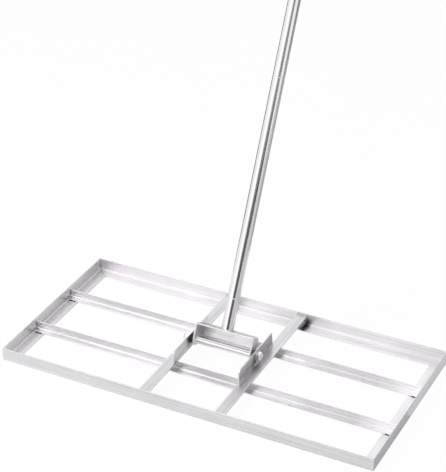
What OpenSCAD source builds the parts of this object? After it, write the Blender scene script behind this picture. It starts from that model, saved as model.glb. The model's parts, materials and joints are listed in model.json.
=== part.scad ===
// Lawn leveling rake: a welded grid of steel angle that drags soil level,
// with a tall screwed-together handle that tilts on one bolt between two ears.
// Millimetres, +Z up, +Y to the back. The origin is the middle of the front rail's sole.

/* [Frame rails] */
// Width of the frame across the rake
frame_w = 914; // [700:1:1200]
// Depth of the frame from front to back
frame_d = 444; // [400:1:600]
// Leg of the rail angle
rail_leg = 31; // [25:0.5:40]
// Wall of the rail angle
rail_t = 3; // [2:0.25:4]
// Fillet inside the rail angle
rail_fillet = 3; // [1:0.25:4]

/* [Slats] */
// Leg of the slat angle
slat_leg = 19; // [15:0.5:25]
// Wall of the slat angle
slat_t = 3; // [2:0.25:4]
// Fillet inside the slat angle
slat_fillet = 2.5; // [1:0.25:4]
// Distance between the back faces of the two slats
slat_pitch = 154; // [130:1:180]

/* [Cross bars] */
// Width of a flat cross bar
bar_w = 26; // [20:0.5:40]
// Thickness of a cross bar
bar_t = 3; // [2:0.25:5]
// Distance between the middles of the two cross bars
bar_pitch = 187; // [160:1:260]

/* [Ears] */
// Reach of an ear in front of the pivot
ear_front = 92; // [60:1:120]
// Reach of an ear behind the pivot
ear_back = 84; // [50:1:120]
// Height of an ear above its cross bar
ear_h = 34; // [32:0.5:50]
// Thickness of an ear
ear_t = 3; // [2:0.25:5]
// Round of the ear's front top corner
ear_front_r = 11; // [4:0.5:20]
// Lean of the ear's back edge from bottom to top
ear_back_lean = 6; // [0:0.5:12]

/* [Pivot] */
// Distance of the pivot in front of the frame's middle
pivot_ahead = 5; // [0:0.5:20]
// Height of the pivot above the cross bars
pivot_h = 18; // [16:0.5:22]
// Diameter of the pivot bolt
bolt_d = 12; // [8:0.5:14]
// Width across the flats of the bolt head and the nut
bolt_af = 19; // [16:0.5:24]
// Height of the bolt head
head_h = 7.5; // [5:0.25:10]
// Height of the lock nut
nut_h = 12; // [8:0.25:16]
// Length of bolt that stands out of the nut
bolt_tip = 3; // [1:0.5:8]
// Rim of a flat washer around the bolt
washer_rim = 6; // [4:0.25:8]
// Thickness of a flat washer
washer_t = 2.5; // [1.5:0.25:4]
// Rim of a spacer around the bolt
spacer_rim = 5; // [3:0.25:8]
// Thickness of the spacer between an ear and the yoke
spacer_t = 7.25; // [3:0.25:12]
// Wall of the sleeve between the yoke's arms
sleeve_wall = 3.45; // [1:0.05:4]

/* [Yoke] */
// Leg of the angle that carries the handle
yoke_leg = 31; // [30:0.5:45]
// Wall of the yoke's angle
yoke_t = 3; // [2:0.25:5]
// Fillet inside the yoke's angle
yoke_fillet = 3; // [1:0.25:5]
// Distance from the pivot to the top of the yoke
yoke_h = 39; // [34:1:60]
// Thickness of a yoke arm
arm_t = 3; // [2:0.25:5]
// Round of an arm's back top corner
arm_corner_r = 8; // [2:0.5:12]

/* [Handle] */
// Lean of the handle behind the vertical
handle_tilt = 26; // [0:1:60]
// Outside diameter of the handle tube
tube_od = 28.6; // [24:0.1:32]
// Wall of the handle tube
tube_wall = 1.5; // [1:0.1:2.5]
// Length of the stub that is welded to the yoke
stub_len = 75; // [60:1:150]
// Length of one screwed handle section
section_len = 508; // [300:1:700]
// Break of the tube's end edges
tube_edge = 0.6; // [0.2:0.1:1]

/* [Screw joints] */
// Length of a threaded socket in a tube's upper end
socket_len = 40; // [25:1:50]
// Wall of a threaded socket
socket_wall = 2; // [1:0.1:3]
// Room left between a spigot's tip and the end of its socket
socket_room = 5; // [2:0.5:10]
// Length of a spigot's plug inside its tube
plug_len = 30; // [20:1:50]
// Bore through a spigot
spigot_bore = 12; // [8:0.5:14]
// Pitch of the handle's thread
thread_pitch = 2.5; // [1.5:0.25:4]
// Depth of the handle's thread
thread_depth = 1; // [0.5:0.1:1.5]

/* [Grip] */
// Length of tube that the grip covers
grip_len = 90; // [60:1:150]
// Wall of the grip
grip_t = 1.7; // [1:0.1:4]
// Thickness of the grip's closed end
grip_end = 3; // [2:0.25:8]
// Length of the lip at the grip's lower edge
grip_lip_len = 3; // [2:0.25:8]
// Height of the lip above the grip
grip_lip_h = 1; // [0.5:0.1:3]

/* [Hidden] */
$fn = 64;

// running clearance round the bolt, clearance of fixed fits, and side play of the yoke
running_play = 0.05;
fit_play = 0.1;
side_play = 0.25;
// cuts run past the faces that they open
overrun = 1;
// half the angle between two corners of a hexagon, in degrees
hex_half = 180 / 6;
// slope of the cone that breaks the hexagons' corners, in degrees,
// and the flat circle inside it as a share of the width across the flats
hex_cone = 30;
hex_top_share = 0.95;
// break of the bolt's tip as a share of its diameter
tip_chamfer_share = 0.08;

// places in the frame
front_y = -rail_leg / 2;
back_y = front_y + frame_d;
mid_y = (front_y + back_y) / 2;
slat_len = frame_w - 2 * rail_t;
bar_z = rail_t + slat_leg;
bar_top = bar_z + bar_t;
bar_len = frame_d - 2 * rail_t;
ear_in = (bar_pitch - bar_w) / 2;
ear_out = ear_in + ear_t;
pivot_y = mid_y - pivot_ahead;
pivot_z = bar_top + pivot_h;

// places along the bolt
washer_out = ear_out + washer_t;
nut_out = washer_out + nut_h;
arm_out = ear_in - spacer_t - side_play;
arm_in = arm_out - arm_t;
hole_d = bolt_d + 2 * fit_play;
bearing_d = bolt_d + 2 * running_play;
washer_od = bolt_d + 2 * washer_rim;
spacer_od = bolt_d + 2 * spacer_rim;
sleeve_od = bearing_d + 2 * sleeve_wall;

// places up the handle, from the pivot
tube_id = tube_od - 2 * tube_wall;
stub_top = yoke_h + stub_len;
lower_top = stub_top + section_len;
middle_top = lower_top + section_len;
upper_top = middle_top + section_len;
bush_od = tube_id - 2 * fit_play;
thread_d = bush_od - 2 * socket_wall - 2 * fit_play;
thread_len = socket_len - socket_room;
grip_id = tube_od + 2 * fit_play;
grip_od = grip_id + 2 * grip_t;

// Section of an angle: its corner at the origin, a foot along X and an upright along Y
module angle_section(leg, wall, fillet) {
    square([leg, wall]);
    square([wall, leg]);
    translate([wall, wall])
        difference() {
            square(fillet);
            translate([fillet, fillet]) circle(fillet);
        }
}

// Length of angle centred on X, upright at the back of its foot, which points to the front
module angle_bar(length, leg, wall, fillet) {
    rotate([90, 0, -90])
        translate([0, 0, -length / 2])
            linear_extrude(length) angle_section(leg, wall, fillet);
}

// Rail along X with mitred ends: upright on the outer face at Y = 0, foot towards +Y
module rail(span) {
    half = span / 2;
    intersection() {
        rotate([0, 0, 180]) angle_bar(span, rail_leg, rail_t, rail_fillet);
        linear_extrude(rail_leg)
            polygon([[-half, 0], [half, 0], [half - rail_leg, rail_leg], [rail_leg - half, rail_leg]]);
    }
}

// Slat with its back face at Y = back, coped at both ends over the side rails' fillets
module slat(back) {
    translate([0, back, rail_t])
        difference() {
            angle_bar(slat_len, slat_leg, slat_t, slat_fillet);
            for (side = [-1, 1])
                translate([side * slat_len / 2, 0, 0])
                    cube([2 * rail_fillet, 2 * (slat_leg + overrun), 2 * rail_fillet], center = true);
        }
}

// Flat bar from rail to rail across the tops of the slats
module cross_bar(side) {
    translate([side * bar_pitch / 2 - bar_w / 2, mid_y - bar_len / 2, bar_z])
        cube([bar_w, bar_len, bar_t]);
}

// Ear outline, drawn from the pivot's foot on the bar: Y along X, height along Y
module ear_outline() {
    difference() {
        polygon([[-ear_front, 0], [ear_back, 0], [ear_back - ear_back_lean, ear_h], [-ear_front, ear_h]]);
        translate([-ear_front, ear_h - ear_front_r])
            difference() {
                translate([-overrun, 0]) square([ear_front_r + overrun, ear_front_r + overrun]);
                translate([ear_front_r, 0]) circle(ear_front_r);
            }
        translate([0, pivot_h]) circle(d = hole_d);
    }
}

// Ear plate standing on the inner edge of its cross bar
module ear(side) {
    translate([side > 0 ? ear_in : -ear_out, pivot_y, bar_top])
        rotate([90, 0, 90]) linear_extrude(ear_t) ear_outline();
}

// Places children on the pivot with their Z along +X
module on_pivot() {
    translate([0, pivot_y, pivot_z]) rotate([0, 90, 0]) children();
}

// Places children on the pivot with their Z up the handle
module on_handle() {
    translate([0, pivot_y, pivot_z]) rotate([-handle_tilt, 0, 0]) children();
}

// Hexagon with two flats square to X, and its corners broken by a cone on the outer face
module hexagon(height) {
    corner = bolt_af / cos(hex_half) / 2;
    reach = corner + overrun;
    top = hex_top_share * bolt_af / 2;
    cone_foot = height - (reach - top) * tan(hex_cone);
    intersection() {
        rotate([0, 0, hex_half]) cylinder(h = height, r = corner, $fn = 6);
        rotate_extrude()
            polygon([[0, 0], [reach, 0], [reach, cone_foot], [top, height], [0, height]]);
    }
}

// Ring from height low to height high
module ring(low, high, outer_d, inner_d) {
    translate([0, 0, low])
        difference() {
            cylinder(h = high - low, d = outer_d);
            translate([0, 0, -overrun]) cylinder(h = high - low + 2 * overrun, d = inner_d);
        }
}

// Tube from height low to height high with broken outer edges
module tube(low, high) {
    outer = tube_od / 2;
    inner = tube_id / 2;
    rotate_extrude()
        polygon([
            [inner, low], [outer - tube_edge, low], [outer, low + tube_edge],
            [outer, high - tube_edge], [outer - tube_edge, high], [inner, high]
        ]);
}

// Threaded socket flush with the tube end at height top
module socket(top) {
    on_handle() ring(top - socket_len, top, bush_od, thread_d + 2 * fit_play);
}

// Spigot: a plug in the tube above height seat, and a ringed thread below it
module spigot(seat) {
    turns = floor(thread_len / thread_pitch);
    crest = thread_d / 2;
    root = crest - thread_depth;
    rings = [
        for (i = [0:turns - 1])
            for (p = [[root, i], [crest, i + 1 / 2]])
                [p[0], seat - thread_len + p[1] * thread_pitch]
    ];
    on_handle()
        rotate_extrude()
            polygon(concat(
                [[spigot_bore / 2, seat + plug_len], [spigot_bore / 2, seat - thread_len]],
                rings,
                [[root, seat], [bush_od / 2, seat], [bush_od / 2, seat + plug_len]]
            ));
}

// Yoke arm: a plate with a round lower end about the pivot
module yoke_arm(side) {
    on_handle()
        translate([side > 0 ? arm_in : -arm_out, 0, 0])
            rotate([90, 0, 90])
                linear_extrude(arm_t)
                    difference() {
                        union() {
                            circle(d = yoke_leg);
                            translate([-yoke_leg / 2, 0]) square([yoke_leg, yoke_h]);
                        }
                        translate([yoke_leg / 2 - arm_corner_r, yoke_h - arm_corner_r])
                            difference() {
                                square(arm_corner_r + overrun);
                                circle(arm_corner_r);
                            }
                        circle(d = bearing_d);
                    }
}

module front_rail() { color("gainsboro") translate([0, front_y, 0]) rail(frame_w); }
module back_rail() { color("gainsboro") translate([0, back_y, 0]) rotate([0, 0, 180]) rail(frame_w); }
module left_rail() { color("silver") translate([-frame_w / 2, mid_y, 0]) rotate([0, 0, -90]) rail(frame_d); }
module right_rail() { color("silver") translate([frame_w / 2, mid_y, 0]) rotate([0, 0, 90]) rail(frame_d); }

module front_slat() { color("lightgray") slat(mid_y - slat_pitch / 2); }
module back_slat() { color("lightgray") slat(mid_y + slat_pitch / 2); }
module left_cross_bar() { color("gainsboro") cross_bar(-1); }
module right_cross_bar() { color("gainsboro") cross_bar(1); }
module left_ear() { color("darkgray") ear(-1); }
module right_ear() { color("darkgray") ear(1); }

module pivot_bolt() {
    tip = -nut_out - bolt_tip;
    chamfer = tip_chamfer_share * bolt_d;
    color("whitesmoke")
        on_pivot() {
            translate([0, 0, washer_out]) hexagon(head_h);
            rotate_extrude()
                polygon([
                    [0, tip], [bolt_d / 2 - chamfer, tip], [bolt_d / 2, tip + chamfer],
                    [bolt_d / 2, washer_out], [0, washer_out]
                ]);
        }
}

module pivot_nut() {
    color("whitesmoke")
        on_pivot()
            difference() {
                translate([0, 0, -washer_out]) rotate([180, 0, 0]) hexagon(nut_h);
                translate([0, 0, -nut_out - overrun])
                    cylinder(h = nut_h + 2 * overrun, d = bearing_d);
            }
}

module head_washer() { color("whitesmoke") on_pivot() ring(ear_out, washer_out, washer_od, hole_d); }
module nut_washer() { color("whitesmoke") on_pivot() ring(-washer_out, -ear_out, washer_od, hole_d); }
module left_spacer() { color("dimgray") on_pivot() ring(-ear_in, spacer_t - ear_in, spacer_od, hole_d); }
module right_spacer() { color("dimgray") on_pivot() ring(ear_in - spacer_t, ear_in, spacer_od, hole_d); }

module pivot_sleeve() { color("white") on_pivot() ring(-arm_in, arm_in, sleeve_od, bearing_d); }

module yoke_angle() {
    color("gainsboro")
        on_handle()
            translate([0, yoke_leg / 2, yoke_h])
                mirror([0, 0, 1]) angle_bar(2 * arm_in, yoke_leg, yoke_t, yoke_fillet);
}

module yoke_left_arm() { color("silver") yoke_arm(-1); }
module yoke_right_arm() { color("silver") yoke_arm(1); }

module handle_stub() { color("lightgray") on_handle() tube(yoke_h, stub_top); }
module stub_socket() { color("darkgray") socket(stub_top); }

module lower_tube() { color("lightgray") on_handle() tube(stub_top, lower_top); }
module lower_spigot() { color("darkgray") spigot(stub_top); }
module lower_socket() { color("darkgray") socket(lower_top); }

module middle_tube() { color("lightgray") on_handle() tube(lower_top, middle_top); }
module middle_spigot() { color("darkgray") spigot(lower_top); }
module middle_socket() { color("darkgray") socket(middle_top); }

module upper_tube() { color("lightgray") on_handle() tube(middle_top, upper_top); }
module upper_spigot() { color("darkgray") spigot(middle_top); }

module grip() {
    low = upper_top - grip_len;
    high = upper_top + grip_end;
    outer = grip_od / 2;
    inner = grip_id / 2;
    lip = outer + grip_lip_h;
    color("dimgray")
        on_handle()
            rotate_extrude()
                difference() {
                    union() {
                        translate([0, low]) square([outer, high - low - grip_end]);
                        translate([0, high - grip_end]) square([outer - grip_end, grip_end]);
                        translate([outer - grip_end, high - grip_end])
                            intersection() {
                                circle(grip_end);
                                square(grip_end);
                            }
                        translate([0, low]) square([lip, grip_lip_len]);
                    }
                    translate([0, low - overrun]) square([inner, grip_len + overrun]);
                }
}

front_rail();
back_rail();
left_rail();
right_rail();
front_slat();
back_slat();
left_cross_bar();
right_cross_bar();
left_ear();
right_ear();
pivot_bolt();
pivot_nut();
head_washer();
nut_washer();
left_spacer();
right_spacer();
pivot_sleeve();
yoke_angle();
yoke_left_arm();
yoke_right_arm();
handle_stub();
stub_socket();
lower_tube();
lower_spigot();
lower_socket();
middle_tube();
middle_spigot();
middle_socket();
upper_tube();
upper_spigot();
grip();
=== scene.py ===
import bpy
import json
import math
import numpy as np
from mathutils import Matrix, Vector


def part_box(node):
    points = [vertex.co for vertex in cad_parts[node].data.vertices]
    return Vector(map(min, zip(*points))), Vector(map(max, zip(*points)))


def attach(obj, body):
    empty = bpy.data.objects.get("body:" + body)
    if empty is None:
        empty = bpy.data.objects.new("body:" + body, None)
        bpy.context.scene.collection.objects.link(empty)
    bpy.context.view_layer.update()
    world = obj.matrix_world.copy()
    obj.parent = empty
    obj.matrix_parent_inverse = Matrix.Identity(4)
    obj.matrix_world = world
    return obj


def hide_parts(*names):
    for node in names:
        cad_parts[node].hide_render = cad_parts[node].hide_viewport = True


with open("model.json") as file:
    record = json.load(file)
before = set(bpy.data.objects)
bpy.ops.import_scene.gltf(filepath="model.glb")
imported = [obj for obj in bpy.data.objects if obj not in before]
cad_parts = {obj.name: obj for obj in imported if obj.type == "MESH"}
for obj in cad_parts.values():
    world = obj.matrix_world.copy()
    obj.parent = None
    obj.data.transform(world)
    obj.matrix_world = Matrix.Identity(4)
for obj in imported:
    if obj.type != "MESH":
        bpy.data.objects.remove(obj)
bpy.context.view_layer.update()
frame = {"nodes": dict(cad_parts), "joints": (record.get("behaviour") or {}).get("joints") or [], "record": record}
mm = 0.001
scene = bpy.context.scene
scene.view_settings.view_transform = "Standard"


def unit(vector):
    return np.asarray(vector) / np.linalg.norm(vector)


# places that everything else is worked out from
pivot = np.array(frame["joints"][0]["pos_m"])
handleUp = unit(next(m["axis"] for m in frame["record"]["mounts"] if m["name"] == "grip"))
across = np.array([1.0, 0.0, 0.0])
handleBack = np.cross(handleUp, across)
backwards = np.array([0.0, 1.0, 0.0])
upwards = np.array([0.0, 0.0, 1.0])
print("frame loaded,", len(frame["nodes"]), "nodes")


def nodeBox(name):
    low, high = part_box(name)
    return np.array(low), np.array(high)


# camera

cameraView = {
    "place": (1.4425, -2.6906, 2.2520),  # metres in the part's frame
    "right": (0.89439, 0.44729, 0.0),
    "up": (-0.22818, 0.45627, 0.86009),
    "sidewaysTurn": 0.0003,  # shares a small misfit between the grid's corners and the handle
    "focalPixels": 1718.9,  # from the corners of the grid in the 446 x 472 picture
    "pictureHeight": 472,
    "sensor": 36.0,
}


# Matrix of something that stands at a place, with its own right and up
def standing(place, right, up):
    turn = np.stack([right, up, np.cross(right, up)], axis=1)
    return Matrix.Translation(place) @ Matrix(turn.tolist()).to_4x4()


def makeCamera(view):
    up = np.array(view["up"])
    straight = np.array(view["right"])
    right = unit(straight + view["sidewaysTurn"] * np.cross(straight, up))
    data = bpy.data.cameras.new("camera")
    data.sensor_width = view["sensor"]
    data.lens = view["focalPixels"] / view["pictureHeight"] * view["sensor"]
    camera = bpy.data.objects.new("camera", data)
    camera.matrix_world = standing(view["place"], right, up)
    scene.collection.objects.link(camera)
    scene.camera = camera


makeCamera(cameraView)
print("camera set")


# nodes and node groups

# A link or a fixed value on each input that is named
def setInputs(tree, node, inputs):
    for key, value in inputs.items():
        if isinstance(value, bpy.types.NodeSocket):
            tree.links.new(value, node.inputs[key])
        else:
            node.inputs[key].default_value = value


def addNode(tree, kind, inputs=None, **settings):
    node = tree.nodes.new(kind)
    for key, value in settings.items():
        setattr(node, key, value)
    setInputs(tree, node, inputs or {})
    return node


def mathNode(tree, operation, first, second):
    return addNode(tree, "ShaderNodeMath", {0: first, 1: second}, operation=operation).outputs[0]


def vectorNode(tree, operation, first, second=(0, 0, 0), output=0):
    node = addNode(tree, "ShaderNodeVectorMath", {0: first, 1: second}, operation=operation)
    return node.outputs[output]


def rangeNode(tree, value, fromLow, fromHigh, toLow=0.0, toHigh=1.0):
    ends = {"From Min": fromLow, "From Max": fromHigh, "To Min": toLow, "To Max": toHigh}
    return addNode(tree, "ShaderNodeMapRange", {"Value": value, **ends}).outputs["Result"]


# The mix node has its colours on inputs 6 and 7, and on output 2
def mixColour(tree, factor, first, second):
    inputs = {0: factor, 6: first, 7: second}
    return addNode(tree, "ShaderNodeMix", inputs, data_type="RGBA").outputs[2]


def noiseNode(tree, vector, stretch, detail):
    scaled = vectorNode(tree, "MULTIPLY", vector, stretch)
    inputs = {"Vector": scaled, "Scale": 1.0, "Detail": detail}
    return addNode(tree, "ShaderNodeTexNoise", inputs).outputs["Fac"]


def groupNode(tree, group, inputs):
    return addNode(tree, "ShaderNodeGroup", inputs, node_tree=group).outputs


def newGroup(name, vectors, values, outputs):
    group = bpy.data.node_groups.new(name, "ShaderNodeTree")
    for label in vectors:
        group.interface.new_socket(name=label, in_out="INPUT", socket_type="NodeSocketVector")
    for label in values:
        group.interface.new_socket(name=label, in_out="INPUT", socket_type="NodeSocketFloat")
    for label in outputs:
        group.interface.new_socket(name=label, in_out="OUTPUT", socket_type="NodeSocketFloat")
    return group, group.nodes.new("NodeGroupInput").outputs, group.nodes.new("NodeGroupOutput")


# Rolled or drawn steel: long bands, hairlines inside them, and soft clouds over the piece
grainMix = {
    "bandShare": 0.6, "bandDetail": 3.0, "hairDetail": 1.0, "cloudDetail": 4.0,
    "toneEnds": (0.36, 0.64), "cloudEnds": (0.32, 0.68),
}


def makeRolledGrain():
    vectors = ["Lengthwise", "Place", "Band Stretch", "Hair Stretch", "Cloud Stretch"]
    group, source, result = newGroup("rolledGrain", vectors, [], ["Tone", "Cloud", "Hair"])
    band = noiseNode(group, source["Lengthwise"], source["Band Stretch"], grainMix["bandDetail"])
    hair = noiseNode(group, source["Lengthwise"], source["Hair Stretch"], grainMix["hairDetail"])
    cloud = noiseNode(group, source["Place"], source["Cloud Stretch"], grainMix["cloudDetail"])
    bandPart = mathNode(group, "MULTIPLY", band, grainMix["bandShare"])
    hairPart = mathNode(group, "MULTIPLY", hair, 1 - grainMix["bandShare"])
    total = mathNode(group, "ADD", bandPart, hairPart)
    tone = rangeNode(group, total, *grainMix["toneEnds"])
    softCloud = rangeNode(group, cloud, *grainMix["cloudEnds"])
    setInputs(group, result, {"Tone": tone, "Cloud": softCloud, "Hair": hair})
    return group


# Worn edges, and painted shade on the rounded edges of the rails and slats: the piece's own edge mask, broken up
# by noise
edgePatches = {"detail": 3.0, "noiseEnds": (0.3, 0.6), "least": 0.35}


def makeWearAndShadeEdge():
    group, source, result = newGroup("wearAndShadeEdge", ["Place", "Stretch"], ["Edge"], ["Wear And Shade"])
    patches = noiseNode(group, source["Place"], source["Stretch"], edgePatches["detail"])
    strength = rangeNode(group, patches, *edgePatches["noiseEnds"], edgePatches["least"], 1.0)
    setInputs(group, result, {"Wear And Shade": mathNode(group, "MULTIPLY", source["Edge"], strength)})
    return group


# Painted patch of light or shade: full at a centre and gone about one reach away from it, with a ragged rim.
# The distance is counted in reaches on each axis, and an inverse reach of zero leaves its axis out.
paintedPatchRim = {"full": 0.45, "gone": 1.25, "ragged": 0.5, "detail": 3.0}


def makePaintedPatch():
    vectors = ["Place", "Centre", "Inverse Reach", "Ragged Stretch"]
    group, source, result = newGroup("paintedPatch", vectors, [], ["Mask"])
    offset = vectorNode(group, "SUBTRACT", source["Place"], source["Centre"])
    reaches = vectorNode(group, "MULTIPLY", offset, source["Inverse Reach"])
    away = vectorNode(group, "LENGTH", reaches, output="Value")
    noise = noiseNode(group, source["Place"], source["Ragged Stretch"], paintedPatchRim["detail"])
    frayed = mathNode(group, "ADD", away, mathNode(group, "MULTIPLY", noise, paintedPatchRim["ragged"]))
    setInputs(group, result, {"Mask": rangeNode(group, frayed, paintedPatchRim["full"], paintedPatchRim["gone"], 1.0, 0.0)})
    return group


# Moulded skin of plastic and rubber: fine pits and wide dusty patches
skinMix = {"pitDetail": 2.0, "pitEnds": (0.3, 0.7), "patchDetail": 4.0, "patchEnds": (0.35, 0.65)}


def makeMouldedSkin():
    vectors = ["Place", "Pit Stretch", "Patch Stretch"]
    group, source, result = newGroup("mouldedSkin", vectors, [], ["Pits", "Patches"])
    pits = noiseNode(group, source["Place"], source["Pit Stretch"], skinMix["pitDetail"])
    patches = noiseNode(group, source["Place"], source["Patch Stretch"], skinMix["patchDetail"])
    setInputs(group, result, {
        "Pits": rangeNode(group, pits, *skinMix["pitEnds"]),
        "Patches": rangeNode(group, patches, *skinMix["patchEnds"]),
    })
    return group


rolledGrain = makeRolledGrain()
wearAndShadeEdge = makeWearAndShadeEdge()
paintedPatch = makePaintedPatch()
mouldedSkin = makeMouldedSkin()


def newMaterial(name):
    material = bpy.data.materials.new(name)
    material.use_nodes = True
    tree = material.node_tree
    return material, tree, tree.nodes["Principled BSDF"]


def bumpNode(tree, height, look):
    inputs = {"Height": height, "Strength": look["bump"], "Distance": look["depth"]}
    return addNode(tree, "ShaderNodeBump", inputs).outputs["Normal"]


# finishes: streaks run along U of each piece's own map, which is in metres

steelCast = np.array([1.003, 0.982, 1.008])  # the steel leans a little to violet


def steelColour(tone):
    return (*(tone * steelCast), 1)


# One stretch for all three axes, or one for each
def evenly(stretch):
    return np.broadcast_to(np.asarray(stretch, float), 3)


# Painted light and shade on the steel: each patch is strongest at its centre and fades over its reach, in
# millimetres. A reach of zero sets no limit along that axis.
slatEnd = nodeBox("front_slat")[1]
barEnd = nodeBox("right_cross_bar")[1]
yokeEnd = nodeBox("yoke_angle")[0]
# painted light: the slats are lighter towards both ends, beside the side rails
paintedLightEnd = {"ragged": 40, "tone": 0.98}
paintedLightRightEnd = {**paintedLightEnd, "centre": (slatEnd[0], 0, 0), "reach": (110, 0, 0), "strength": 0.9}
paintedLightLeftEnd = {**paintedLightEnd, "centre": (-slatEnd[0], 0, 0), "reach": (60, 0, 0), "strength": 0.7}
leftShade = {
    "centre": (-0.52 * slatEnd[0], 0, slatEnd[2] - 6 * mm), "reach": (250, 0, 15), "ragged": 40,
    "tone": 0.45, "strength": 0.52,
}
# painted light: a lighter band along the slats' foot, left of the middle
paintedLightFoot = {
    "centre": (-0.36 * slatEnd[0], 0, slatEnd[2] - 17.5 * mm), "reach": (400, 0, 5.5), "ragged": 40,
    "tone": 0.99, "strength": 1.0,
}
# the slats' painted light and shade
slatPaintedLightAndShade = [paintedLightLeftEnd, paintedLightRightEnd, leftShade, paintedLightFoot]
# painted shadow: the front slat darker between the cross bars, under the yoke and ears
paintedShadowMidSlat = {
    "centre": (0, 0, slatEnd[2] - 8 * mm), "reach": (115, 0, 18), "ragged": 40, "tone": 0.42, "strength": 0.8,
}
# painted shadow: near black on the back rail beside the right cross bar's back end, under the bar
paintedShadowBarEnd = {
    "centre": barEnd + np.array([0.5, -13.5, -19]) * mm, "reach": (12, 50, 24), "ragged": 160,
    "tone": 0.03, "strength": 1.0,
}
# painted shadow: the bolt head's shadow on the right ear, below and in front of the pivot
paintedShadowRightEar = {
    "centre": pivot + np.array([0, -10, -4]) * mm, "reach": (0, 24, 19), "ragged": 260,
    "tone": 0.07, "strength": 0.9,
}
# painted shade: darker round the pivot on the left ear's inner face, where the arm and spacer shade it
paintedShadeLeftEar = {
    "centre": pivot + np.array([0, -12, -3]) * mm, "reach": (0, 22, 18), "ragged": 260,
    "tone": 0.14, "strength": 0.9,
}
# painted reflection: the yoke's web darker at its left end, where it mirrors the left arm
paintedReflectionYoke = {
    "centre": (yokeEnd[0] + 14 * mm, 0, yokeEnd[2] + 15 * mm), "reach": (26, 0, 28), "ragged": 120,
    "tone": 0.24, "strength": 0.8,
}
# painted reflection: a thin dark line along the sleeve, where it mirrors the horizon
paintedReflectionSleeve = {
    "centre": pivot + np.array([0, -6.4, 7.0]) * mm, "reach": (0, 2, 2), "ragged": (30, 400, 400),
    "tone": 0.05, "strength": 0.88,
}

# ways in which the steel was worked
rolledBar = {
    "rough": (0.24, 0.38), "band": (2.2, 240, 1), "hair": (9, 1900, 1), "cloud": 11,
    "bump": 0.10, "depth": 0.10 * mm,
}
softBar = {**rolledBar, "rough": (0.26, 0.40)}
rolledPlate = {
    "rough": (0.20, 0.36), "band": (9, 330, 1), "hair": (24, 2400, 1), "cloud": 26,
    "bump": 0.10, "depth": 0.10 * mm,
}
drawnTube = {
    "rough": (0.10, 0.15), "band": (2, 420, 1), "hair": (8, 3000, 1), "cloud": 9,
    "bump": 0.04, "depth": 0.05 * mm,
}
turnedPart = {
    "rough": (0.15, 0.28), "band": (420, 20, 1), "hair": (2600, 30, 1), "cloud": 60,
    "bump": 0.08, "depth": 0.06 * mm,
}
weldBead = {
    "rough": (0.26, 0.46), "band": (260, 260, 1), "hair": (1800, 1800, 1), "cloud": 70,
    "bump": 0.15, "depth": 0.10 * mm,
}
cutThread = {
    "rough": (0.30, 0.48), "band": (160, 160, 160), "hair": (1400, 1400, 1400), "cloud": 40,
    "bump": 0.12, "depth": 0.08 * mm, "ownMap": False,
}

# tones are the grain's dark and light, and the worn edge. The rails, the slats, the ears and the arms are each
# one steel in lit and shaded copies: where their tones differ, that is painted light and shade. On the rails and
# slats the edge tone lies below the light tone: painted shade that holds down the highlights on their rounded
# edges.
steelLooks = {
    # four lit and shaded copies of one rail steel: painted light and shade, lightest on the back rail, darkest on
    # the front
    "frontRailSteel": {**rolledBar, "tones": (0.62, 0.87, 0.68)},
    "backRailSteel": {**softBar, "tones": (0.72, 0.93, 0.90), "paintedPatches": [paintedShadowBarEnd]},
    "leftRailSteel": {**softBar, "tones": (0.68, 0.91, 0.64)},
    "rightRailSteel": {**softBar, "tones": (0.655, 0.895, 0.64)},
    # the front slat's darker edge tone is painted shade, and its extra patch is the painted shadow between the
    # cross bars
    "frontSlatSteel": {**rolledBar, "tones": (0.62, 0.87, 0.58), "paintedPatches": [paintedShadowMidSlat, *slatPaintedLightAndShade]},
    "backSlatSteel": {**rolledBar, "tones": (0.62, 0.87, 0.64), "paintedPatches": slatPaintedLightAndShade},
    "barSteel": {
        **softBar, "tones": (0.49, 0.71, 0.78), "band": (3, 300, 1), "hair": (11, 2200, 1), "cloud": 14,
    },
    # lit and shaded copies of one ear steel: the left ear painted lighter, the right ear darker
    "leftEarSteel": {**rolledPlate, "tones": (0.56, 0.90, 0.90), "paintedPatches": [paintedShadeLeftEar]},
    "rightEarSteel": {**rolledPlate, "tones": (0.46, 0.77, 0.88), "paintedPatches": [paintedShadowRightEar]},
    # lit and shaded copies of one arm steel: the left arm painted lighter, the right arm darker
    "leftArmSteel": {**rolledPlate, "tones": (0.93, 0.98, 0.97), "rough": (0.62, 0.74)},
    "rightArmSteel": {**rolledPlate, "tones": (0.68, 0.84, 0.90), "rough": (0.50, 0.62)},
    "yokeSteel": {
        **rolledPlate, "tones": (0.54, 0.84, 0.90), "rough": (0.22, 0.36), "band": (5, 260, 1),
        "hair": (20, 2400, 1), "paintedPatches": [paintedReflectionYoke],
    },
    "sleeveSteel": {
        **drawnTube, "tones": (0.88, 0.96, 0.96), "rough": (0.14, 0.22), "band": (4, 420, 1),
        "hair": (12, 3000, 1), "cloud": 30, "paintedPatches": [paintedReflectionSleeve],
    },
    "tubeSteel": {**drawnTube, "tones": (0.80, 0.89, 0.92)},
    "turnedSteel": {**turnedPart, "tones": (0.68, 0.86, 0.95)},
    "boltSteel": {**turnedPart, "tones": (0.84, 0.97, 0.98), "rough": (0.14, 0.30)},
    "weldSteel": {**weldBead, "tones": (0.125, 0.41, 0.5)},
    # near-black beads that stand for the shadow under the slat feet: painted shadow
    "paintedShadowSteel": {**weldBead, "tones": (0.02, 0.10, 0.2), "rough": (0.46, 0.66)},
    "seamSteel": {**weldBead, "tones": (0.455, 0.735, 0.8), "rough": (0.28, 0.46)},
    "threadSteel": {**cutThread, "tones": (0.46, 0.66, 0.8)},
}

steelWear = {
    "patches": 90, "cloudShare": 0.35,
    "smoothAt": 0.8,  # where tone times cloud gives the lower roughness
    "smoother": 0.06,  # worn edges are smoother by this much
}


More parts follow.
